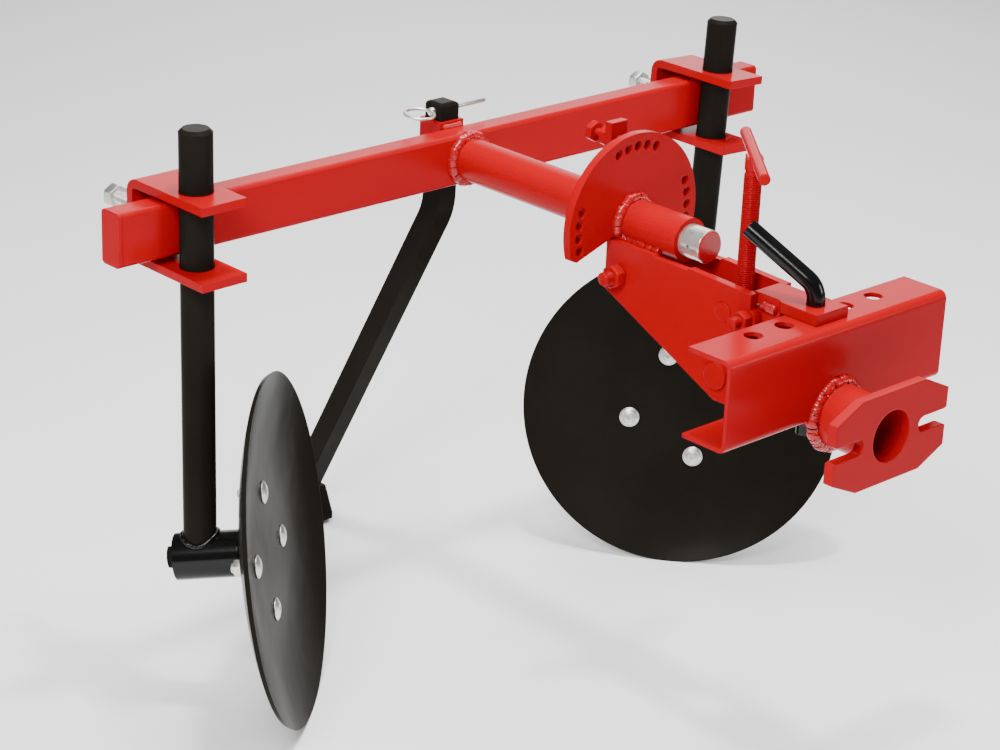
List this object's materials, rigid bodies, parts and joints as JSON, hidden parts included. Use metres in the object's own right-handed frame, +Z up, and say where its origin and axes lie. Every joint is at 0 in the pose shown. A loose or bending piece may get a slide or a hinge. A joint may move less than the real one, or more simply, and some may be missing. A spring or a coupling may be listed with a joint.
{
  "type": "disc ridger",
  "caption": "Disc ridger for a walking tractor: coupling channel, swivelling and pitching arm, rolling toolbar with clamped disc shanks and a centre tine.",
  "frame": {"origin": "centre of the plan on the ground under the discs", "axes": "+Z up, -Y forward towards the coupling, +X along the toolbar to the right"},
  "size_m": [1.006, 1.0294, 0.7003],
  "materials": {
    "red_paint": "gloss",
    "black_paint": "gloss",
    "zinc": "zinc plated",
    "bare_steel": "machined"
  },
  "bodies": {
    "hitch": {"coupling_channel": "red_paint", "coupling_tube": "red_paint", "coupling_flange": "red_paint"},
    "head": {"swivel_upper_lug": "red_paint", "swivel_lower_lug": "red_paint", "swivel_post": "red_paint", "pitch_eye": "red_paint", "tongue": "red_paint", "hinge_pin": "black_paint"},
    "arm": {"side_plate_left": "red_paint", "side_plate_right": "red_paint", "sleeve": "red_paint", "index_sector": "red_paint", "spindle_nut": "red_paint", "pitch_bolt": "red_paint", "tie_bolt": "red_paint", "stop_pin": "red_paint"},
    "spindle": {"spindle_screw": "red_paint", "spindle_handle": "red_paint"},
    "beam": {"toolbar": "red_paint", "toolbar_cap_left": "red_paint", "toolbar_cap_right": "red_paint", "neck_tube": "red_paint", "roll_shaft": "bare_steel", "index_lug": "red_paint", "index_bolt": "red_paint", "tine_socket": "red_paint"},
    "tine": {"tine": "black_paint", "share": "black_paint", "linch_pin": "zinc"},
    "clamp_left": {"clamp_left": "red_paint", "clamp_bolt_left": "zinc"},
    "shank_left": {"shank_left": "black_paint", "hub_tube_left": "black_paint"},
    "disc_left": {"disc_left": "black_paint", "axle_left": "black_paint", "disc_bolts_left": "zinc"},
    "clamp_right": {"clamp_right": "red_paint", "clamp_bolt_right": "zinc"},
    "shank_right": {"shank_right": "black_paint", "hub_tube_right": "black_paint"},
    "disc_right": {"disc_right": "black_paint", "axle_right": "black_paint", "disc_bolts_right": "zinc"}
  },
  "joints": [
    {"name": "swing", "type": "hinge", "parent": "hitch", "child": "head", "pos_m": [0, -0.39875, 0.54337], "axis": [0, 0, 1], "range_deg": [-20, 20]},
    {"name": "pitch", "type": "hinge", "parent": "head", "child": "arm", "pos_m": [0, -0.33075, 0.52477], "axis": [1, 0, 0], "range_deg": [-8, 8]},
    {"name": "spindle_slide", "type": "slide", "parent": "arm", "child": "spindle", "axis": [0, 0, 1], "range_m": [-0.0055, 0.0055]},
    {"name": "roll", "type": "hinge", "parent": "arm", "child": "beam", "pos_m": [0, -0.24575, 0.57477], "axis": [0, 1, 0], "range_deg": [-100, 100]},
    {"name": "tine_slide", "type": "slide", "parent": "beam", "child": "tine", "axis": [0, 0, 1], "range_m": [0, 0.02]},
    {"name": "clamp_slide_left", "type": "slide", "parent": "beam", "child": "clamp_left", "axis": [1, 0, 0], "range_m": [-0.04, 0.09]},
    {"name": "shank_turn_left", "type": "hinge", "parent": "clamp_left", "child": "shank_left", "pos_m": [-0.415, 0.12595, 0.57477], "axis": [-0.0087, 0, 1], "range_deg": [-20, 20]},
    {"name": "disc_spin_left", "type": "hinge", "parent": "shank_left", "child": "disc_left", "pos_m": [-0.4116, 0.12595, 0.18478], "axis": [0.654, -0.7407, 0.1535], "continuous": true},
    {"name": "clamp_slide_right", "type": "slide", "parent": "beam", "child": "clamp_right", "axis": [1, 0, 0], "range_m": [-0.09, 0.04]},
    {"name": "shank_turn_right", "type": "hinge", "parent": "clamp_right", "child": "shank_right", "pos_m": [0.4038, 0.12595, 0.57042], "axis": [0.0454, 0, 0.999], "range_deg": [-20, 20]},
    {"name": "disc_spin_right", "type": "hinge", "parent": "shank_right", "child": "disc_right", "pos_m": [0.38611, 0.12595, 0.18083], "axis": [-0.7557, -0.6291, 0.1823], "continuous": true}
  ],
  "couplings": [
    {"joint": "spindle_slide", "follows": "pitch", "m_per_rad": -0.032}
  ]
}
